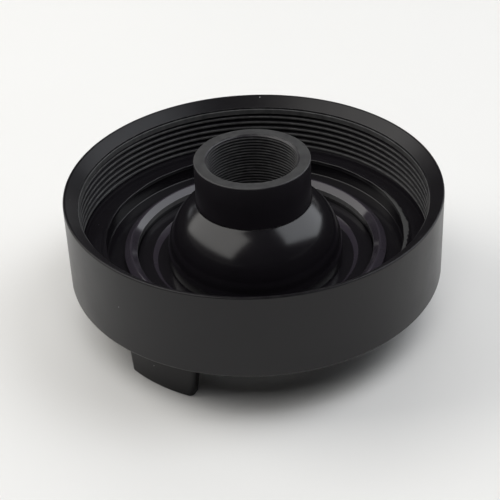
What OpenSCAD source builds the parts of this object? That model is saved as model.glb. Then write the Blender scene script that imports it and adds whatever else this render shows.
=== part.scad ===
// Threaded filter-housing cap with a centre neck: a satin outer skirt, a
// threaded ring inside it, a glossy stepped floor with two seal rings, a
// domed centre with a threaded neck, and a pair of drive lugs underneath.
// Units are millimetres. The axis of the cap is Z and the lugs stand on z = 0.

/* [Outer skirt] */
// Outer radius of the skirt
skirt_r = 85; // [82:0.5:90]
// Height of the skirt, from its lower edge to the rim
skirt_h = 41; // [38:0.5:48]
// Thickness of the skirt wall
skirt_wall = 3; // [2:0.25:4]
// Slope of the lead-in face of the rim, below the horizontal
rim_slope = 40; // [30:1:50]
// Rounding of the outer edge of the rim
rim_round = 0.8; // [0.4:0.1:1.2]
// Rounding of the lower edge of the skirt
foot_round = 1.2; // [0.5:0.1:2]

/* [Rim thread] */
// Nominal diameter of the rim thread
rim_thread_d = 160; // [158:0.5:162]
// Pitch of the rim thread
rim_pitch = 3; // [2:0.5:3]
// Number of thread ridges
rim_turns = 6; // [4:1:6]
// Height of the plain land above the first ridge
land_h = 2.5; // [1.5:0.25:4]
// Open seam between the rim's lip and the threaded ring
seam = 0.2; // [0.1:0.05:0.4]

/* [Floor] */
// Depth of the gasket shelf below the rim
shelf_depth = 27; // [26:0.5:30]
// Inner radius of the gasket shelf
shelf_r = 68.5; // [66:0.5:71]
// Depth of the lower floor below the rim
floor_depth = 33; // [31:0.5:34]
// Sheet thickness of the floor pan
pan_wall = 3; // [2:0.25:3]
// Radius of the small curve at the foot of the step between shelf and floor
step_fillet = 0.4; // [0.2:0.1:1.2]

/* [Seals] */
// Thickness of the flat gasket
gasket_t = 1.8; // [1:0.1:2.4]
// Radial width of the flat gasket
gasket_w = 11.5; // [9:0.5:11.5]
// Height of the gasket's inner bead above its flat face
gasket_bead = 0.9; // [0.4:0.1:1]
// Radius of the crest of the inner seal ring
ring_r = 57.1; // [56.5:0.1:57.6]
// Width of the inner seal ring
ring_w = 5.8; // [5:0.2:6.2]
// Height of the inner seal ring above the lower floor
ring_h = 4; // [3:0.25:5]
// Depth of the groove that the inner seal ring sits in
ring_sink = 1; // [0.5:0.25:1.5]
// Slope of the inner seal ring's inner side, below the horizontal
ring_in_slope = 45; // [36:1:48]
// Slope of the inner seal ring's outer side, below the horizontal
ring_out_slope = 36; // [26:1:42]

/* [Dome] */
// Radius of the domed centre at its widest
dome_r = 40.2; // [39.6:0.2:41]
// Radius of the curve that the dome is turned from
dome_curve = 32.2; // [31:0.2:33]
// Depth of the dome's widest place below the rim
dome_depth = 33.8; // [33:0.2:34.6]
// Wall thickness of the dome
dome_wall = 2.5; // [2:0.25:3]
// Thickness of the flange round the dome
flange_t = 3; // [2.8:0.1:3.4]
// Radius of the outer edge of the moat between dome and flange
moat_r = 47.4; // [46.5:0.1:49]
// Radius at which the moat's sloped side meets its bottom
moat_low_r = 45; // [44:0.1:46]
// Depth of the moat below the flange
moat_depth = 2.4; // [1.6:0.2:2.4]

/* [Neck] */
// Outer radius of the neck
neck_r = 26; // [25:0.25:27]
// Height of the neck's top above the rim
neck_rise = 14; // [10:0.5:18]
// Length of the neck, from its top to its lower end
neck_len = 34; // [30:0.5:38]
// Nominal diameter of the neck thread
neck_thread_d = 42; // [40:0.5:44]
// Pitch of the neck thread
neck_pitch = 1.5; // [1:0.25:2]
// Chamfer at both ends of the neck thread
neck_chamfer = 1; // [0.5:0.1:1.5]

/* [Drive lugs] */
// Height of the lugs below the skirt
lug_h = 25; // [18:1:30]
// Outer radius of the lugs
lug_r = 73; // [70:0.5:75]
// Radial thickness of the lugs
lug_t = 6; // [4:0.5:10]
// Width of a lug at its foot
lug_w = 35; // [28:0.5:40]
// Draft of the lugs' ends, in degrees
lug_draft = 8.5; // [4:0.5:10]
// Chamfer along the outer edge of a lug's foot
lug_chamfer = 0.8; // [0.4:0.1:1.5]

/* [Base plate] */
// Thickness of the base plate
plate_t = 2.4; // [2:0.1:2.4]
// Radius of the opening in the base plate
plate_hole_r = 44.5; // [44:0.5:46]

/* [Hidden] */

$fn = 128;

// Heights above the ground
base_z = lug_h;
rim_z = base_z + skirt_h;
shelf_z = rim_z - shelf_depth;
floor_z = rim_z - floor_depth;
plate_top_z = base_z + plate_t;
flange_z = plate_top_z + flange_t;
neck_top_z = rim_z + neck_rise;
neck_low_z = neck_top_z - neck_len;

// Clearance between pieces that are pushed into each other
slip = 0.05;

// Skirt bore, and the pieces that fill it
skirt_in_r = skirt_r - skirt_wall;
core_r = skirt_in_r - slip;

// Basic thread height of a 60 degree metric thread, and its share in an internal thread
thread_h = 0.866 * rim_pitch;
rim_crest_r = rim_thread_d / 2 - 0.625 * thread_h;
rim_root_r = rim_thread_d / 2;
neck_bore_r = neck_thread_d / 2 - 0.625 * 0.866 * neck_pitch;

// Rim lip: end of the rounding, and the inner edge of the sloped face
rim_arc_end = 90 + rim_slope;
lip_r = rim_crest_r + 0.5;
face_start = [skirt_r - rim_round + rim_round * cos(rim_arc_end),
              rim_z - rim_round + rim_round * sin(rim_arc_end)];
lip_z = face_start[1] - (face_start[0] - lip_r) * tan(rim_slope);
lip_under_z = lip_z - 0.5;

// Threaded ring
ring_top_z = lip_under_z - seam;
land_end_z = ring_top_z - land_h;
last_ridge_z = shelf_z + 2.5;

// Inner seal ring, which lies in the edge of the pan's opening
ring_in_r = ring_r - ring_w / 2;
ring_out_r = ring_r + ring_w / 2;
pan_hole_r = ring_in_r;

// Dome: centre of its curve, the moat at its foot and its underside
dome_c_r = dome_r - dome_curve;
dome_z = rim_z - dome_depth;
dome_in_curve = dome_curve - dome_wall;
dome_in_z = function(r) dome_z + sqrt(pow(dome_in_curve, 2) - pow(r - dome_c_r, 2));
moat_z = flange_z - moat_depth;
dome_low_z = base_z + 0.4;

// Points on an arc about (cx, cz), from angle a0 to a1
function arc(cx, cz, r, a0, a1, steps = 8) =
    [for (i = [0:steps])
        let (a = a0 + (a1 - a0) * i / steps)
        [cx + r * cos(a), cz + r * sin(a)]];

// Solid of revolution about Z from a closed outline of [radius, height] points
module turned(outline) {
    rotate_extrude($fn = 160)
        polygon(outline);
}

module outer_skirt() {
    color([0.13, 0.13, 0.135])
        turned(concat(
            [[skirt_in_r, base_z]],
            arc(skirt_r - foot_round, base_z + foot_round, foot_round, -90, 0),
            arc(skirt_r - rim_round, rim_z - rim_round, rim_round, 0, rim_arc_end),
            [[lip_r, lip_z],
             [lip_r, lip_under_z],
             [skirt_in_r, lip_under_z]]));
}

// One ridge of the rim thread, as seen in section, centred on height z
function ridge(z) =
    let (crest = 0.15 * rim_pitch, root = 0.42 * rim_pitch)
    [[rim_root_r, z + root],
     [rim_crest_r, z + crest],
     [rim_crest_r, z - crest],
     [rim_root_r, z - root]];

module thread_ring() {
    color([0.10, 0.10, 0.105])
        turned(concat(
            [[core_r, shelf_z],
             [core_r, ring_top_z],
             [rim_crest_r + 0.3, ring_top_z],
             [rim_crest_r, ring_top_z - 0.3],
             [rim_crest_r, land_end_z],
             [rim_root_r, land_end_z - 0.4]],
            [for (i = [rim_turns - 1:-1:0])
                each ridge(last_ridge_z + i * rim_pitch)],
            [[rim_root_r, shelf_z]]));
}

module sealing_gasket() {
    gasket_out_r = rim_root_r - 1;
    gasket_in_r = gasket_out_r - gasket_w;
    top_z = shelf_z + gasket_t;
    half_w = 1.1;
    bead_r = (pow(half_w, 2) + pow(gasket_bead, 2)) / (2 * gasket_bead);
    lean = asin((bead_r - gasket_bead) / bead_r);
    color([0.07, 0.07, 0.075])
        turned(concat(
            [[gasket_in_r, shelf_z],
             [gasket_out_r, shelf_z],
             [gasket_out_r, top_z]],
            arc(gasket_in_r + half_w, top_z + gasket_bead - bead_r, bead_r, lean, 180 - lean)));
}

module floor_pan() {
    step_r = shelf_r - 0.5;
    riser_in_r = pan_hole_r + 0.8;
    color([0.06, 0.06, 0.065])
        turned(concat(
            // top side, from the skirt inwards
            [[core_r, plate_top_z],
             [core_r, shelf_z]],
            arc(shelf_r + 0.3, shelf_z - 0.3, 0.3, 90, 180, 4),
            arc(step_r - step_fillet, floor_z + step_fillet, step_fillet, 0, -90, 4),
            [[ring_out_r + slip, floor_z],
             [ring_out_r + slip, floor_z - ring_sink],
             [pan_hole_r, floor_z - ring_sink]],
            // under side, back out to the skirt
            [[pan_hole_r, plate_top_z],
             [pan_hole_r + 2.5, plate_top_z],
             [riser_in_r + 2.5, floor_z - pan_wall + 0.6],
             [shelf_r + pan_wall, floor_z - pan_wall + 0.6],
             [shelf_r + pan_wall, shelf_z - pan_wall],
             [core_r - pan_wall, shelf_z - pan_wall],
             [core_r - pan_wall, plate_top_z]]));
}

module inner_seal_ring() {
    crown = 0.8;
    low_z = floor_z - ring_sink;
    crest = arc(ring_r, floor_z + ring_h - crown, crown, 90 - ring_out_slope, 90 + ring_in_slope);
    eave = crest[0];
    brow = crest[len(crest) - 1];
    color([0.08, 0.08, 0.085])
        turned(concat(
            [[ring_in_r, low_z],
             [ring_out_r, low_z],
             [ring_out_r, eave[1] - (ring_out_r - eave[0]) * tan(ring_out_slope)]],
            crest,
            [[ring_in_r, brow[1] - (brow[0] - ring_in_r) * tan(ring_in_slope)]]));
}

module centre_dome() {
    out_top_a = acos((neck_r + slip - dome_c_r) / dome_curve);
    out_low_a = asin((moat_z - dome_z) / dome_curve);
    in_top_a = acos((neck_r + slip - dome_c_r) / dome_in_curve);
    in_low_a = asin((dome_low_z - dome_z) / dome_in_curve);
    color([0.06, 0.06, 0.065])
        turned(concat(
            // outside, from the neck down to the moat and out to the flange
            arc(dome_c_r, dome_z, dome_curve, out_top_a, out_low_a, 24),
            [[moat_low_r, moat_z],
             [moat_r, flange_z],
             [pan_hole_r - slip, flange_z],
             [pan_hole_r - slip, plate_top_z],
             // under side, where the foot fills the base plate's opening
             [plate_hole_r - slip, plate_top_z],
             [plate_hole_r - slip, dome_low_z]],
            // inside, back up to the neck
            arc(dome_c_r, dome_z, dome_in_curve, in_low_a, in_top_a, 24)));
}

module neck_bush() {
    collar_r = neck_r + 5;
    collar_z = dome_in_z(collar_r);
    color([0.09, 0.09, 0.095])
        turned([
            [neck_bore_r + neck_chamfer, neck_low_z],
            [collar_r - 0.5, neck_low_z],
            [collar_r - 0.1, collar_z - 0.4],
            [neck_r, dome_in_z(neck_r) - 0.4],
            [neck_r, neck_top_z - 0.6],
            [neck_r - 0.6, neck_top_z],
            [neck_bore_r + neck_chamfer, neck_top_z],
            [neck_bore_r, neck_top_z - neck_chamfer],
            [neck_bore_r, neck_low_z + neck_chamfer]]);
}

module base_plate() {
    color([0.12, 0.12, 0.125])
        turned([
            [plate_hole_r, base_z],
            [core_r, base_z],
            [core_r, plate_top_z],
            [plate_hole_r, plate_top_z]]);
}

// Drive lug in the direction -Y: a piece of a ring whose ends lean out with height
module drive_lug() {
    spread = asin(lug_w / 2 / lug_r);
    reach = 2 * lug_r;
    difference() {
        turned([
            [lug_r - lug_t, 0],
            [lug_r - lug_chamfer, 0],
            [lug_r, lug_chamfer],
            [lug_r, lug_h],
            [lug_r - lug_t, lug_h]]);
        for (side = [0, 1])
            mirror([side, 0, 0])
                rotate([0, 0, spread - 90])
                    rotate([-lug_draft, 0, 0])
                        translate([-reach, 0, -reach])
                            cube([2 * reach, reach, 2 * reach]);
    }
}

module drive_lug_front() {
    color([0.12, 0.12, 0.125])
        drive_lug();
}

module drive_lug_rear() {
    color([0.12, 0.12, 0.125])
        rotate([0, 0, 180])
            drive_lug();
}

outer_skirt();
thread_ring();
sealing_gasket();
floor_pan();
inner_seal_ring();
centre_dome();
neck_bush();
base_plate();
drive_lug_front();
drive_lug_rear();
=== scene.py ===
"""Looks of the threaded filter-housing cap.

Each CAD node is replaced by a finer piece of the same size: turned bodies with rounded edges,
two real right-hand threads, an uneven gasket bead and drafted lugs. Outlines are lists of
(radius, height) in millimetres, and build() turns them into metres about the cap's Z axis.
"""

from math import (acos, asin, atan2, ceil, cos, degrees, exp, floor, hypot, pi, radians, sin,
                  sqrt, tan)

import bmesh
import bpy
from mathutils import Matrix, Quaternion, Vector


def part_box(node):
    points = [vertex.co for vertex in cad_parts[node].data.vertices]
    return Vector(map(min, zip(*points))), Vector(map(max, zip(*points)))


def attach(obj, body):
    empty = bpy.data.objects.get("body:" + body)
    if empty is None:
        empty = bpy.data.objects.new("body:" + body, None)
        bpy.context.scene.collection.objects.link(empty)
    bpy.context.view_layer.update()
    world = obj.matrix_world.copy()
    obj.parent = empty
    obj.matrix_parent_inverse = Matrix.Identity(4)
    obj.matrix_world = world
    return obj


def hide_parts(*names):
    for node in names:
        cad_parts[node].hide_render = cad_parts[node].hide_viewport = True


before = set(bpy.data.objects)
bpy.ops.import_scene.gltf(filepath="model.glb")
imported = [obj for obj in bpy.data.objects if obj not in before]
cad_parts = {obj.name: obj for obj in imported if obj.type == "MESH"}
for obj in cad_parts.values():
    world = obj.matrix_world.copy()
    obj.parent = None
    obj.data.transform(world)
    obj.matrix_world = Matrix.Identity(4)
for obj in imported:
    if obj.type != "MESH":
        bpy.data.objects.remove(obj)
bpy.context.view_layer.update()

MM = 0.001
TURN = 2 * pi
SEGMENTS = 288        # columns of a turned piece
SHARP = 35            # an edge that bends more than this many degrees isn't shaded smooth


def node_size(node):
    """Outer radius, lowest and highest point of a CAD node, in millimetres."""
    low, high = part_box(node)
    return high.x / MM, low.z / MM, high.z / MM


# ---------------------------------------------------------------- sizes, in millimetres

SKIRT_R, SKIRT_LOW, RIM = node_size("outer_skirt")
RING_R, SHELF, RING_TOP = node_size("thread_ring")
GASKET_R, GASKET_LOW, _ = node_size("sealing_gasket")
SEAL_R, SEAL_LOW, SEAL_TOP = node_size("inner_seal_ring")
FLANGE_R, DOME_LOW, _ = node_size("centre_dome")
COLLAR_R, NECK_LOW, NECK_TOP = node_size("neck_bush")
PLATE_R, PLATE_LOW, PLATE_HIGH = node_size("base_plate")
LUG_R = -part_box("drive_lug_front")[0].y / MM

# Skirt: its wall, the slope and rounding of the rim's face, and the thin lip inside the rim
SKIRT_WALL = 3
RIM_SLOPE = radians(40)
RIM_ROUND = 0.8
FOOT_ROUND = 1.2
LIP_R = 78.876
LIP_T = 0.5

# Rim thread: M160 x 3, with a plain land above it. At RIDGE_ANGLE the middle of its lowest ridge
# passes the height LOWEST_RIDGE
RIM_ROOT_R = 80
RIM_CREST_R = 78.376
RIM_PITCH = 3
LAND_H = 2.5
LOWEST_RIDGE = SHELF + 2.5
RIDGE_ANGLE = radians(128)

# Floor: the gasket's shelf, the lower floor and the ridge of the seal ring that stands on it
SHELF_R = 68.5
FLOOR = SEAL_LOW + 1
PAN_WALL = 3
SEAL_IN_R = 54.2
SEAL_CREST_R = 57.1
SEAL_CROWN = 0.8
SEAL_IN_SLOPE = radians(45)
SEAL_OUT_SLOPE = radians(38)

# Gasket: its flat face, the bead along its bore, and the side where the bead is ragged
GASKET_T = 1.8
BEAD_R = SHELF_R - 1
BEAD_W = 2.2
BEAD_ANGLE = radians(40)

# Dome: an arc turned about the axis, with its centre off it, and the moat and flange at its foot
DOME_R = 40.2
DOME_CURVE = 32.2
DOME_WALL = 2.5
DOME_IN_CURVE = DOME_CURVE - DOME_WALL
DOME_C_R = DOME_R - DOME_CURVE
DOME_Z = RIM - 33.8
WELD = 1.0
FLANGE_TOP = PLATE_HIGH + 3
MOAT_R = 47.4
MOAT_LOW_R = 45
MOAT = FLANGE_TOP - 2.4

# Neck: M42 x 1.5 inside
NECK_R = 26
NECK_ROOT_R = 21
NECK_CREST_R = 20.188
NECK_PITCH = 1.5
NECK_CHAMFER = 1

# Base plate and lugs
PLATE_HOLE_R = 44.5
LUG_T = 6
LUG_W = 35
LUG_DRAFT = radians(8.5)
LUG_ROUND = 2.3
LUG_IN_ROUND = 1.2
LUG_FOOT_ROUND = 0.8

GAP = 0.05            # between pieces that sit in each other


# ---------------------------------------------------------------- outlines


def arc(x, z, r, start, end, steps):
    """Points on an arc about (x, z), between two angles in degrees."""
    angles = [radians(start + (end - start) * i / steps) for i in range(steps + 1)]
    return [(x + r * cos(a), z + r * sin(a)) for a in angles]


def rounded(corners, steps=6, hold=0.1):
    """Outline whose corners, each (radius, height, rounding), are replaced by arcs.

    A point a little before and after each arc, at distance hold, keeps the flats flat."""
    points = []
    for i, (x, z, size) in enumerate(corners):
        corner = Vector((x, z))
        if size == 0:
            points.append((x, z))
            continue
        back = (Vector(corners[i - 1][:2]) - corner).normalized()
        ahead = (Vector(corners[(i + 1) % len(corners)][:2]) - corner).normalized()
        half = back.angle(ahead) / 2
        centre = corner + (back + ahead).normalized() * size / sin(half)
        start = corner + back * size / tan(half) - centre
        end = corner + ahead * size / tan(half) - centre
        turn = atan2(start.x * end.y - start.y * end.x, start.dot(end))
        points.append(tuple(centre + start + back * hold))
        for k in range(steps + 1):
            a = turn * k / steps
            points.append((centre.x + start.x * cos(a) - start.y * sin(a),
                           centre.y + start.x * sin(a) + start.y * cos(a)))
        points.append(tuple(centre + end + ahead * hold))
    return points


def dome_height(curve, r):
    """Height of the dome's outer or inner curve at radius r."""
    return DOME_Z + sqrt(curve ** 2 - (r - DOME_C_R) ** 2)


def dome_angle(curve, z):
    """Angle at which the dome's outer or inner curve passes height z, in degrees."""
    return degrees(asin((z - DOME_Z) / curve))


def smooth(low, high, value):
    """0 below low, 1 above high, and a soft step between them."""
    t = min(max((value - low) / (high - low), 0), 1)
    return t * t * (3 - 2 * t)


# ---------------------------------------------------------------- meshes


def build(name, section, segments=SEGMENTS, join=None, sharp=SHARP):
    """Closed mesh round Z: section(angle) gives the outline there, always with as many points.

    join maps a point of the last outline to the point of the first one that it meets."""
    join = join or (lambda row: row)
    bm = bmesh.new()
    columns = []
    for s in range(segments):
        angle = TURN * s / segments
        columns.append([bm.verts.new((r * MM * cos(angle), r * MM * sin(angle), z * MM))
                        for r, z in section(angle)])
    rows = len(columns[0])
    for s in range(segments):
        here = columns[s]
        if s < segments - 1:
            there = columns[s + 1]
        else:
            there = [columns[0][join(row)] for row in range(rows)]
        for row in range(rows):
            up = (row + 1) % rows
            corners = dict.fromkeys((here[row], here[up], there[up], there[row]))
            if len(corners) > 2:
                bm.faces.new(list(corners))
    return finish_mesh(name, bm, sharp)


def finish_mesh(name, bm, sharp=SHARP):
    """Cleans a mesh, shades it smooth up to its sharp edges and links it as an object."""
    bmesh.ops.remove_doubles(bm, verts=bm.verts, dist=0.002 * MM)
    bmesh.ops.dissolve_degenerate(bm, edges=bm.edges, dist=0.001 * MM)
    bmesh.ops.recalc_face_normals(bm, faces=bm.faces)
    mesh = bpy.data.meshes.new(name)
    bm.to_mesh(mesh)
    bm.free()
    mesh.shade_smooth()
    mesh.set_sharp_from_angle(angle=radians(sharp))
    piece = bpy.data.objects.new(name, mesh)
    bpy.context.scene.collection.objects.link(piece)
    return piece


class Thread:
    """Rows of an internal right-hand thread, which follow its helix.

    STATIONS are (place in the pitch, share of the ridge's height), about the ridge's middle.
    SHARP is the thread's own limit for smooth shading, in degrees."""

    SHARP = 32
    STATIONS = ((-0.5, 0), (-0.42, 0), (-0.3, 0.44), (-0.19, 0.86), (-0.165, 0.96), (-0.13, 1),
                (0.13, 1), (0.165, 0.96), (0.19, 0.86), (0.3, 0.44), (0.42, 0))

    def __init__(self, root, crest, pitch, low, high, ridge, ridge_angle=0.0):
        self.root, self.crest, self.pitch = root, crest, pitch
        self.low, self.high = low, high
        self.ridge, self.ridge_angle = ridge, ridge_angle
        first = floor((low - self.middle(TURN)) / pitch + 0.5)
        last = ceil((high - self.middle(0)) / pitch - 0.5)
        self.places = [turn + place for turn in range(first, last + 1)
                       for place, _ in self.STATIONS]

    def middle(self, angle):
        """Height of the ridge's middle at this angle, on its turn number 0."""
        return self.ridge + self.pitch * (angle - self.ridge_angle) / TURN

    def share(self, z, angle):
        """Share of the ridge's height at a height z."""
        place = ((z - self.middle(angle)) / self.pitch + 0.5) % 1 - 0.5
        stations = self.STATIONS + ((0.5, 0),)
        for (a, low), (b, high) in zip(stations, stations[1:]):
            if place <= b:
                return low + (high - low) * (place - a) / (b - a)
        return 0

    def points(self, angle, least_r=lambda z: 0, fade=lambda z: 1):
        """(radius, height) of each row; least_r opens the thread, fade lowers its ridge."""
        rows = []
        for place in self.places:
            z = min(max(self.middle(angle) + place * self.pitch, self.low), self.high)
            r = self.root - (self.root - self.crest) * self.share(z, angle) * fade(z)
            rows.append((max(r, least_r(z)), z))
        return rows

    def join(self, row):
        """Row of the first section that a row of the last one meets, one turn up the helix.

        The rows of the body that follow the thread's own meet themselves."""
        count = len(self.places)
        return min(row + len(self.STATIONS), count - 1) if row < count else row


# ---------------------------------------------------------------- pieces


def outer_skirt():
    """Cylindrical wall, with the sloped face of the rim and the thin lip inside it."""
    bore = SKIRT_R - SKIRT_WALL
    apex = RIM - RIM_ROUND + RIM_ROUND * (1 + sin(RIM_SLOPE)) / cos(RIM_SLOPE)
    lip = apex - (SKIRT_R - LIP_R) * tan(RIM_SLOPE)
    outline = rounded([
        (bore, SKIRT_LOW, 0.3),
        (SKIRT_R, SKIRT_LOW, FOOT_ROUND),
        (SKIRT_R, apex, RIM_ROUND),
        (LIP_R, lip, 0.15),
        (LIP_R, lip - LIP_T, 0),
        (bore, lip - LIP_T, 0)])
    return build("skirt_shell", lambda angle: outline)


def thread_ring():
    """Ring with the coarse rim thread, which fades out above the shelf, and the land above it."""
    land_end = RING_TOP - LAND_H
    thread_end = land_end - 0.4
    thread = Thread(RIM_ROOT_R, RIM_CREST_R, RIM_PITCH, SHELF, thread_end,
                    LOWEST_RIDGE, RIDGE_ANGLE)
    body = rounded([
        (RIM_CREST_R, land_end, 0),
        (RIM_CREST_R, RING_TOP, 0.3),
        (RING_R, RING_TOP, 0.1),
        (RING_R, SHELF, 0)])

    def section(angle):
        rows = thread.points(angle, fade=lambda z: smooth(SHELF + 0.3, SHELF + 1.6, z))
        return rows + body

    return build("rim_thread_ring", section, segments=360, join=thread.join, sharp=thread.SHARP)


def bead_shape(angle):
    """Uneven gasket bead: how far its outer and inner side move, and its height, in mm."""
    ragged = exp(-((angle - BEAD_ANGLE + pi) % TURN - pi) ** 2 / 0.5)
    outer = 0.30 * sin(3 * angle + 0.4) + 0.18 * sin(11 * angle + 1.0) + 0.09 * sin(29 * angle)
    inner = 0.16 * sin(5 * angle + 2.0) + 0.12 * sin(17 * angle + 0.3) + 0.07 * sin(41 * angle)
    ripple = 0.10 * sin(4 * angle + 1.2) + 0.06 * sin(13 * angle) + 0.04 * sin(37 * angle + 0.7)
    return outer * (1 + ragged), inner, 0.22 + 0.65 * ragged + ripple * (0.3 + ragged)


def sealing_gasket():
    """Flat ring on the shelf, with an uneven raised bead along its bore."""
    flat = GASKET_LOW + GASKET_T

    def section(angle):
        outer, inner, height = bead_shape(angle)
        low_r = BEAD_R + 0.25 + inner
        high_r = BEAD_R + BEAD_W + outer
        crown = flat + height
        return rounded([
            (BEAD_R + 0.5, GASKET_LOW, 0),
            (GASKET_R, GASKET_LOW, 0),
            (GASKET_R, flat, 0.3),
            (high_r + 0.8, flat, 0.5),
            (high_r - 0.5, crown, 0.5),
            (low_r, crown - 0.1, 0.35)], hold=0)

    return build("shelf_gasket", section, segments=480)


def floor_pan():
    """Stepped floor: shelf, step, lower floor with the seal ring's seat, and the walls below."""
    step_r = SHELF_R - 0.5
    seat_r = SEAL_R + GAP
    riser_r = SEAL_IN_R + 3.3
    under = FLOOR - PAN_WALL + 0.6
    outline = rounded([
        (RING_R, PLATE_HIGH, 0.2),
        (RING_R, SHELF, 0.2),
        (SHELF_R, SHELF, 0.3),
        (step_r, FLOOR, 0.7),
        (seat_r, FLOOR, 0.15),
        (seat_r, SEAL_LOW, 0),
        (SEAL_IN_R, SEAL_LOW, 0.1),
        (SEAL_IN_R, PLATE_HIGH, 0.2),
        (riser_r - 0.8, PLATE_HIGH, 0.2),
        (riser_r, under, 0.8),
        (SHELF_R + PAN_WALL, under, 0.8),
        (SHELF_R + PAN_WALL, SHELF - PAN_WALL, 0.8),
        (RING_R - PAN_WALL, SHELF - PAN_WALL, 0.8),
        (RING_R - PAN_WALL, PLATE_HIGH, 0.2)])
    return build("stepped_floor_pan", lambda angle: outline)


def inner_seal_ring():
    """Roof-shaped ring: two slopes that touch a round crest about (SEAL_CREST_R, ridge).

    eave and brow are where the slopes reach the ring's outer and inner side, and apex is where
    they would meet, shifted a little because one is steeper than the other."""
    ridge = SEAL_TOP - SEAL_CROWN
    out_lean, in_lean = SEAL_OUT_SLOPE, SEAL_IN_SLOPE
    eave = ridge + (SEAL_CROWN - (SEAL_R - SEAL_CREST_R) * sin(out_lean)) / cos(out_lean)
    brow = ridge + (SEAL_CROWN - (SEAL_CREST_R - SEAL_IN_R) * sin(in_lean)) / cos(in_lean)
    shift = SEAL_CROWN * (1 / cos(out_lean) - 1 / cos(in_lean)) / (tan(out_lean) + tan(in_lean))
    apex = ridge + (SEAL_CROWN + shift * sin(in_lean)) / cos(in_lean)
    outline = rounded([
        (SEAL_IN_R, brow, 0.12),
        (SEAL_IN_R, SEAL_LOW, 0.1),
        (SEAL_R, SEAL_LOW, 0.2),
        (SEAL_R, eave, 0.3),
        (SEAL_CREST_R + shift, apex, SEAL_CROWN)], 8)
    return build("seal_ring", lambda angle: outline)


def centre_dome():
    """Hollow dome from the neck down to the moat, with its flange and its foot in the plate."""
    neck_gap_r = NECK_R + GAP
    plate_gap_r = PLATE_HOLE_R - GAP
    weld_r = neck_gap_r + WELD
    weld_z = dome_height(DOME_CURVE + WELD, weld_r)
    shoulder = dome_angle(DOME_CURVE + WELD, weld_z)
    outline = (
        arc(weld_r, weld_z, WELD, 180, 180 + shoulder, 6)
        + arc(DOME_C_R, DOME_Z, DOME_CURVE, shoulder, dome_angle(DOME_CURVE, MOAT + 0.3), 40)[1:]
        + rounded([
            (DOME_R - 0.3, MOAT, 0.3),
            (MOAT_LOW_R, MOAT, 0.3),
            (MOAT_R, FLANGE_TOP, 0.4),
            (FLANGE_R, FLANGE_TOP, 0.3),
            (FLANGE_R, PLATE_HIGH, 0.2),
            (plate_gap_r, PLATE_HIGH, 0.1),
            (plate_gap_r, DOME_LOW, 0.4),
            (DOME_R - DOME_WALL - 0.8, DOME_LOW, 0)])
        + arc(DOME_C_R, DOME_Z, DOME_IN_CURVE, dome_angle(DOME_IN_CURVE, DOME_LOW + 0.2),
              degrees(acos((neck_gap_r - DOME_C_R) / DOME_IN_CURVE)), 30))
    return build("domed_centre", lambda angle: outline)


def neck_bush():
    """Tube with a fine thread and chamfered mouths, and a collar that seats inside the dome."""
    collar_r = COLLAR_R - 0.1
    collar_seat = dome_height(DOME_IN_CURVE, COLLAR_R) - 0.4
    dome_seat = dome_height(DOME_IN_CURVE, NECK_R) - 0.4
    mouth_r = NECK_CREST_R + NECK_CHAMFER
    root_in = mouth_r - NECK_ROOT_R    # how far inside each mouth the chamfer meets the root
    thread = Thread(NECK_ROOT_R, NECK_CREST_R, NECK_PITCH,
                    NECK_LOW + root_in, NECK_TOP - root_in, NECK_LOW)
    body = rounded([
        (mouth_r, NECK_TOP, 0.08),
        (NECK_R, NECK_TOP, 0.6),
        (NECK_R, dome_seat, 0.2),
        (collar_r, collar_seat, 0.3),
        (collar_r, NECK_LOW, 0.5),
        (mouth_r, NECK_LOW, 0.1)])

    def chamfer(z):
        """Radius of the cone that opens the thread at each end."""
        return mouth_r - min(NECK_TOP - z, z - NECK_LOW)

    return build("threaded_neck", lambda angle: thread.points(angle, chamfer) + body,
                 segments=240, join=thread.join, sharp=thread.SHARP)


def base_plate():
    """Flat ring that closes the underside round the dome's foot."""
    outline = rounded([
        (PLATE_HOLE_R, PLATE_LOW, 0.5),
        (PLATE_R, PLATE_LOW, 0.2),
        (PLATE_R, PLATE_HIGH, 0.2),
        (PLATE_HOLE_R, PLATE_HIGH, 0.5)])
    return build("underside_plate", lambda angle: outline)


def lug_layer(z, inset):
    """Plan outline of the front lug at height z, drawn in by inset: (angle, radius) pairs."""
    half = LUG_R * asin(LUG_W / 2 / LUG_R) + z * tan(LUG_DRAFT) - inset
    outer, inner = LUG_R - inset, LUG_R - LUG_T + inset
    corner = LUG_ROUND - inset
    plan = rounded([(-half, outer, corner), (half, outer, corner),
                    (half, inner, LUG_IN_ROUND), (-half, inner, LUG_IN_ROUND)])
    points = []
    for (x, r), (x2, r2) in zip(plan, plan[1:] + plan[:1]):
        steps = max(1, round(hypot(x2 - x, r2 - r) / 2))
        points += [(x + (x2 - x) * k / steps, r + (r2 - r) * k / steps) for k in range(steps)]
    return [(x / LUG_R, r) for x, r in points]


def drive_lug(name, facing):
    """Drafted, curved lug with rounded corners; facing is its direction about Z."""
    bm = bmesh.new()
    # (height, inset) of each layer: a rounded foot, then the plain side up to the skirt
    foot = [(LUG_FOOT_ROUND * (1 - cos(a)), LUG_FOOT_ROUND * (1 - sin(a)))
            for a in (0, 0.4, 0.8, 1.2, pi / 2)]
    side = [(z, 0) for z in (5, 10, 15, 20, SKIRT_LOW)]
    layers = []
    count = len(lug_layer(0, 0))
    for z, inset in foot + side:
        plan = lug_layer(z, inset)
        plan = plan if len(plan) == count else resampled(plan, count)
        layers.append([bm.verts.new((r * MM * cos(facing + a), r * MM * sin(facing + a), z * MM))
                       for a, r in plan])
    for low, high in zip(layers, layers[1:]):
        for k in range(count):
            bm.faces.new((low[k], low[k - 1], high[k - 1], high[k]))
    for cap in (layers[0], layers[-1]):
        bm.faces.new(cap)
    bmesh.ops.triangulate(bm, faces=[f for f in bm.faces if len(f.verts) > 4])
    return finish_mesh(name, bm)


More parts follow.
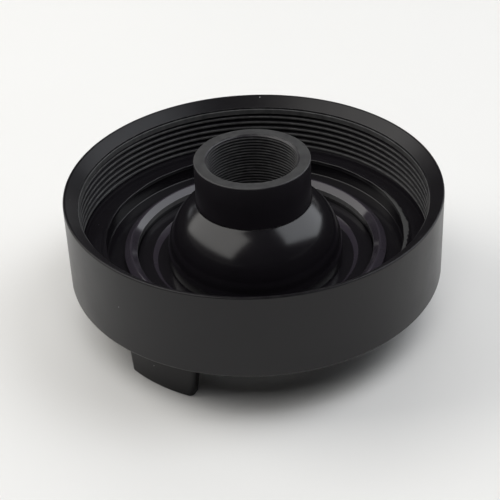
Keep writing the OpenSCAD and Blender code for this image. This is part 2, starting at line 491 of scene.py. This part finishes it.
def resampled(points, count):
    """The closed outline with another number of points, evenly spread by index."""
    out = []
    for k in range(count):
        t = k * len(points) / count
        i, part = int(t), t % 1
        (a, r), (a2, r2) = points[i], points[(i + 1) % len(points)]
        out.append((a + (a2 - a) * part, r + (r2 - r) * part))
    return out


# ---------------------------------------------------------------- materials


def add(tree, kind, inputs=None, **settings):
    """Adds a shader node; inputs maps socket names to values or other nodes' sockets."""
    node = tree.nodes.new("ShaderNode" + kind)
    for key, value in settings.items():
        setattr(node, key, value)
    for key, value in (inputs or {}).items():
        if isinstance(value, bpy.types.NodeSocket):
            tree.links.new(value, node.inputs[key])
        else:
            node.inputs[key].default_value = value
    return node


def maths(tree, operation, *values):
    """Result of a Math node on two or three values or sockets."""
    return add(tree, "Math", dict(enumerate(values)), operation=operation).outputs[0]


def span(tree, value, low, high, to_low=0.0, to_high=1.0):
    """Value, moved from low..high to to_low..to_high and held inside it."""
    return add(tree, "MapRange", {"Value": value, "From Min": low, "From Max": high,
                                  "To Min": to_low, "To Max": to_high}).outputs["Result"]


def mix(tree, factor, below, above):
    """Colour between two colours or colour sockets, by factor."""
    return add(tree, "Mix", {0: factor, 6: below, 7: above}, data_type="RGBA").outputs[2]


def times(tree, *values):
    """Product of values or sockets."""
    product = values[0]
    for value in values[1:]:
        product = maths(tree, "MULTIPLY", product, value)
    return product


BLACK_TINT = (1.07, 0.92, 1.18)
# grey of the worn edges: both wear and a painted highlight line along the edges
WORN_AND_HIGHLIGHT_SHADE = 0.16
DUST_SHADE = 0.55


def grey(level, tint=(1, 1, 1)):
    """Colour of one linear grey level, tinted."""
    return [level * t for t in tint] + [1.0]


def blank_material(name):
    """A new material with an empty node tree, and that tree."""
    material = bpy.data.materials.new(name)
    material.use_nodes = True
    material.node_tree.nodes.clear()
    return material, material.node_tree


def noise(tree, vector, scale, detail, roughness=0.5):
    """Factor of a noise texture with this many cells in a metre."""
    return add(tree, "TexNoise", {"Vector": vector, "Scale": scale, "Detail": detail,
                                  "Roughness": roughness}).outputs["Fac"]


def dust_dots(tree, place):
    """A small dot in some of the cells of a coarse Voronoi pattern."""
    cells = add(tree, "TexVoronoi", {"Vector": place, "Scale": 130.0, "Randomness": 1.0})
    pick = add(tree, "SeparateColor", {"Color": cells.outputs["Color"]}).outputs["Red"]
    dot = span(tree, cells.outputs["Distance"], 0.020, 0.032, 1.0, 0.0)
    return times(tree, dot, maths(tree, "GREATER_THAN", pick, 0.62))


def worn_and_highlight_edges(tree, cloud):
    """Edges, where a softened normal leaves the true one, broken up by noise: wear along the
    edges, which also serves as a painted highlight line on them.
    """
    soft = add(tree, "Bevel", {"Radius": 0.5 * MM}, samples=4).outputs["Normal"]
    true = add(tree, "NewGeometry").outputs["Normal"]
    bend = add(tree, "VectorMath", {0: soft, 1: true}, operation="DOT_PRODUCT").outputs["Value"]
    return times(tree, span(tree, bend, 0.995, 0.93), span(tree, cloud, 0.42, 0.62))


def machined_and_highlight_faces(tree, radius, z, cloud, pale_below_r, pale_above_z):
    """Everything nearer the axis than the given radius or higher than the given height, unevenly:
    machined crests and faces, and on the seal ring a painted highlight along its inner edge.
    """
    crest = span(tree, radius, (pale_below_r + 0.12) * MM, (pale_below_r + 0.42) * MM, 1.0, 0.0)
    face = span(tree, z, (pale_above_z - 0.3) * MM, (pale_above_z - 0.1) * MM)
    return times(tree, maths(tree, "MAXIMUM", crest, face), span(tree, cloud, 0.3, 0.6, 0.6, 1.0))


def painted_highlight_ring(tree, radius, inner_r, outer_r):
    """Ring between two radii, painted paler as a highlight."""
    return times(tree, span(tree, radius, inner_r * MM, (inner_r + 0.3) * MM),
                 span(tree, radius, (outer_r - 0.3) * MM, outer_r * MM, 1.0, 0.0))


def ragged_highlight_strip(tree, x, y, radius, cloud, bore_r, direction):
    """Ragged strip outside bore_r, on the side of the axis that lies in that direction; it is
    painted paler as a highlight.
    """
    toward = maths(tree, "ADD", times(tree, x, cos(direction)), times(tree, y, sin(direction)))
    side = span(tree, maths(tree, "DIVIDE", toward, radius), 0.85, 0.98)
    ragged_r = maths(tree, "ADD", bore_r * MM, times(tree, side, cloud, 3.8 * MM))
    return times(tree, span(tree, maths(tree, "SUBTRACT", ragged_r, radius), 0.0, 0.3 * MM), side)


def plastic(name, shade, roughness, grain, specks, ior=1.5, edge_wear_and_highlight=0.35, rings=0.0,
            machined_and_highlight=None, highlight_band=None, ragged_highlight=None):
    """Black plastic or rubber: mottled shade, fine grain, dust specks, worn edges that also carry
    a painted highlight, turned rings.

    shade is the linear grey, and grain, specks, edge wear and rings are amounts from 0 to 1.
    The last three arguments give paler places, each ending with its grey: (radius, height, grey)
    for machined faces, which on the seal ring paint a highlight along its inner edge; (inner
    radius, outer radius, grey) for a painted highlight ring; and (radius, direction, grey) for a
    painted highlight strip on one side."""
    material, tree = blank_material(name)
    place = add(tree, "TexCoord").outputs["Object"]
    x, y, z = add(tree, "SeparateXYZ", {"Vector": place}).outputs
    radius = maths(tree, "SQRT", maths(tree, "ADD", maths(tree, "POWER", x, 2.0),
                                       maths(tree, "POWER", y, 2.0)))
    lathe = add(tree, "CombineXYZ", {"X": radius, "Z": z}).outputs["Vector"]

    mottle = noise(tree, place, 45.0, 5.0, 0.6)
    cloud = noise(tree, place, 320.0, 4.0)
    fine = noise(tree, place, 2600.0, 3.0, 0.65)
    turned = noise(tree, lathe, 3200.0, 2.0)

    colour = mix(tree, mottle, grey(shade * 0.8, BLACK_TINT), grey(shade * 1.2, BLACK_TINT))
    rough = span(tree, mottle, 0.3, 0.7, roughness * 0.88, roughness * 1.12)
    # paler machined faces; on the seal ring the same mask paints a highlight along its inner edge
    if machined_and_highlight:
        *edges, machined_and_highlight_shade = machined_and_highlight
        machined_and_highlight_mask = machined_and_highlight_faces(tree, radius, z, cloud, *edges)
        colour = mix(tree, machined_and_highlight_mask, colour, grey(machined_and_highlight_shade))
        rough = maths(tree, "ADD", rough, times(tree, machined_and_highlight_mask, 0.15))
    # painted highlight: a paler ring between two radii
    if highlight_band:
        *edges, highlight_band_shade = highlight_band
        ring = painted_highlight_ring(tree, radius, *edges)
        colour = mix(tree, ring, colour, grey(highlight_band_shade, BLACK_TINT))
    # painted highlight: a paler ragged strip on one side
    if ragged_highlight:
        *edge, ragged_highlight_shade = ragged_highlight
        strip = ragged_highlight_strip(tree, x, y, radius, cloud, *edge)
        colour = mix(tree, strip, colour, grey(ragged_highlight_shade))
    # worn edges painted paler: wear, and a painted highlight line along the edges
    worn_and_highlit = times(tree, worn_and_highlight_edges(tree, cloud), edge_wear_and_highlight)
    colour = mix(tree, worn_and_highlit, colour, grey(WORN_AND_HIGHLIGHT_SHADE))
    colour = mix(tree, times(tree, dust_dots(tree, place), specks), colour, grey(DUST_SHADE))
    rough = maths(tree, "ADD", rough, times(tree, worn_and_highlit, 0.2))

    height = maths(tree, "ADD", times(tree, fine, grain), times(tree, turned, rings))
    bump = add(tree, "Bump", {"Height": height, "Strength": 0.6, "Distance": 0.02 * MM})
    shader = add(tree, "BsdfPrincipled", {"Base Color": colour, "Roughness": rough,
                                          "IOR": ior, "Normal": bump.outputs["Normal"]})
    add(tree, "OutputMaterial", {"Surface": shader.outputs["BSDF"]})
    return material


def pale_floor():
    """Pale, faintly uneven studio paper."""
    material, tree = blank_material("studio_paper")
    cloud = noise(tree, add(tree, "TexCoord").outputs["Object"], 3.0, 3.0)
    paper = mix(tree, cloud, (0.80, 0.79, 0.77, 1), (0.84, 0.835, 0.82, 1))
    shader = add(tree, "BsdfPrincipled", {"Base Color": paper, "Roughness": 0.9})
    add(tree, "OutputMaterial", {"Surface": shader.outputs["BSDF"]})
    return material


MATERIALS = {
    "satin_black": plastic("satin_black", 0.005, 0.34, ior=1.40, grain=0.35, specks=0.9,
                           rings=0.2),
    "thread_black": plastic("thread_black", 0.010, 0.34, grain=0.2, specks=0.1, rings=0.4,
                            machined_and_highlight=(RIM_CREST_R, SKIRT_R, 0.08)),
    # the paler ring on the moat's slope at the dome's foot is a painted highlight
    "gloss_black": plastic("gloss_black", 0.007, 0.19, grain=0.03, specks=0.15, edge_wear_and_highlight=0.1,
                           highlight_band=(MOAT_LOW_R, MOAT_R, 0.055)),
    "pan_black": plastic("pan_black", 0.006, 0.20, ior=1.42, grain=0.03, specks=0.3, edge_wear_and_highlight=0.1),
    "neck_black": plastic("neck_black", 0.014, 0.36, grain=0.25, specks=0.2, rings=0.4,
                          machined_and_highlight=(NECK_CREST_R, NECK_TOP, 0.045)),
    # the paler ragged strip along one side of the gasket's bead is a painted highlight
    "gasket_rubber": plastic("gasket_rubber", 0.007, 0.24, grain=0.4, specks=0.4, edge_wear_and_highlight=0.08,
                             ragged_highlight=(SHELF_R - 0.6, BEAD_ANGLE, 0.06)),
    # seal ring: the paler band along its inner edge is a painted highlight
    "seal_gloss": plastic("seal_gloss", 0.032, 0.11, grain=0.06, specks=0.2, edge_wear_and_highlight=0.1,
                          machined_and_highlight=(SEAL_IN_R - 0.2, SKIRT_R, 0.11)),
}


# ---------------------------------------------------------------- floor, light and camera

VIEW_AZIMUTH = radians(37.9)
CAMERA = (0.0, -0.5315, 0.3315)      # from the rim's centre, as for from_view
AIM = (-0.0026, 0.0, -0.0353)
ROLL = radians(-2.44)
FLOOR_R = 6
WORLD_STRENGTH = 0.04
WARM = (1.0, 0.985, 0.95)
COOL = (0.93, 0.96, 1.0)
WHITE = (1.0, 1.0, 1.0)


def from_view(across, away, up):
    """A place given as across to the viewer's right, away from the viewer, and up, in metres."""
    return Matrix.Rotation(VIEW_AZIMUTH, 3, "Z") @ Vector((across, away, up))


def stage_floor():
    """A wide, round, flat sheet of studio paper."""
    sides = 64
    bm = bmesh.new()
    bm.faces.new([bm.verts.new((FLOOR_R * cos(TURN * k / sides), FLOOR_R * sin(TURN * k / sides),
                                0)) for k in range(sides)])
    floor_piece = finish_mesh("studio_floor", bm)
    floor_piece.data.materials.append(pale_floor())


def softbox(name, centre, facing, long_side, size, radiance, colour, mirrored, lighting):
    """Rectangular lamp at centre that shines along facing; its length runs along long_side.

    mirrored lamps show in glossy surfaces, and lighting ones light the matt surfaces."""
    lamp = bpy.data.lights.new(name, "AREA")
    lamp.shape = "RECTANGLE"
    lamp.size, lamp.size_y = size
    lamp.energy = radiance * pi * size[0] * size[1]
    lamp.color = colour
    away = -facing.normalized()
    along = (long_side - away * long_side.dot(away)).normalized()
    turn = Matrix((along, away.cross(along), away)).transposed()
    holder = bpy.data.objects.new(name, lamp)
    holder.matrix_world = Matrix.Translation(centre) @ turn.to_4x4()
    holder.visible_glossy = mirrored
    holder.visible_diffuse = lighting
    bpy.context.scene.collection.objects.link(holder)


# Each lamp: name, centre, way it faces, long side, size, radiance, colour, mirrored, lighting.
# Places and directions are as for from_view. Mirrored lamps stand where the highlights of the
# dome, the seal ring and the rim want them, and lighting ones shape the matt walls and shadows.
LAMPS = (
    ("left_strip", (-0.83, -0.025, 0.925), (0.72, 0.11, -0.69), (0.32, -0.93, 0.18),
     (2.05, 1.02), 2.05, WARM, True, False),
    ("right_strip", (0.95, 0.17, 0.78), (-0.82, -0.13, -0.55), (-0.26, -0.78, 0.57),
     (1.64, 0.78), 2.3, COOL, True, False),
    ("low_strip", (-0.835, 0.84, 0.25), (0.69, -0.71, -0.17), (0.72, 0.695, 0.017),
     (0.24, 0.19), 0.8, COOL, True, False),
    ("back_card", (0.55, 1.20, 0.16), (-0.42, -0.90, -0.08), (0.90, -0.42, 0.0),
     (1.10, 0.36), 0.45, WHITE, True, False),
    ("above", (0.0, 0.2, 1.5), (0.0, -0.13, -1.0), (1.0, 0.0, 0.0),
     (2.0, 2.0), 0.45, WHITE, False, True),
    ("left", (-1.1, 0.3, 1.1), (1.1, -0.3, -1.1), (0.0, 1.0, 0.0),
     (1.0, 1.0), 3.8, WARM, False, True),
    ("right", (1.1, 0.3, 1.1), (-1.1, -0.3, -1.1), (0.0, 1.0, 0.0),
     (1.0, 1.0), 1.3, COOL, False, True),
    ("behind", (0.0, 1.3, 1.0), (0.0, -1.3, -1.0), (1.0, 0.0, 0.0),
     (1.2, 1.0), 1.5, WHITE, False, True),
    ("above_front", (0.0, -0.7, 1.4), (0.0, 0.7, -1.4), (1.0, 0.0, 0.0),
     (0.8, 0.8), 3.3, WHITE, False, True),
    ("above_right", (0.8, 0.0, 1.4), (-0.8, 0.0, -1.4), (1.0, 0.0, 0.0),
     (0.8, 0.8), 3.3, COOL, False, True),
)


def studio_lights():
    """All the lamps, turned to the camera's side of the cap."""
    for name, centre, facing, long_side, *settings in LAMPS:
        softbox(name, from_view(*centre), from_view(*facing), from_view(*long_side), *settings)


def studio_world():
    """Dim, even room."""
    world = bpy.data.worlds.new("studio")
    world.use_nodes = True
    tree = world.node_tree
    tree.nodes.clear()
    sky = add(tree, "Background", {"Color": (1.0, 0.995, 1.0, 1.0), "Strength": WORLD_STRENGTH})
    add(tree, "OutputWorld", {"Surface": sky.outputs["Background"]})
    bpy.context.scene.world = world


def studio_camera():
    """Camera 0.63 m from the rim's centre, 32 degrees above it, tilted a little to the left."""
    rim_centre = Vector((0, 0, RIM * MM))
    centre = rim_centre + from_view(*CAMERA)
    aim = rim_centre + from_view(*AIM)
    lens = bpy.data.cameras.new("camera")
    lens.lens = 100.8
    lens.sensor_width = 36
    lens.clip_start = 0.01
    camera = bpy.data.objects.new("camera", lens)
    look = (aim - centre).to_track_quat("-Z", "Y")
    roll = Quaternion((0, 0, 1), ROLL)
    camera.matrix_world = Matrix.Translation(centre) @ (look @ roll).to_matrix().to_4x4()
    bpy.context.scene.collection.objects.link(camera)
    bpy.context.scene.camera = camera


# ---------------------------------------------------------------- assembly

studio_camera()
studio_world()
studio_lights()
stage_floor()

FRONT = -pi / 2
PIECES = (
    (outer_skirt, "outer_skirt", "satin_black"),
    (thread_ring, "thread_ring", "thread_black"),
    (sealing_gasket, "sealing_gasket", "gasket_rubber"),
    (floor_pan, "floor_pan", "pan_black"),
    (inner_seal_ring, "inner_seal_ring", "seal_gloss"),
    (centre_dome, "centre_dome", "gloss_black"),
    (neck_bush, "neck_bush", "neck_black"),
    (base_plate, "base_plate", "satin_black"),
    (lambda: drive_lug("lug_front", FRONT), "drive_lug_front", "satin_black"),
    (lambda: drive_lug("lug_rear", FRONT + pi), "drive_lug_rear", "satin_black"),
)

for make, node, slot in PIECES:
    piece = make()
    piece.data.materials.append(MATERIALS[slot])
    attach(piece, "root")
    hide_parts(node)

bpy.context.scene.view_settings.view_transform = "Standard"
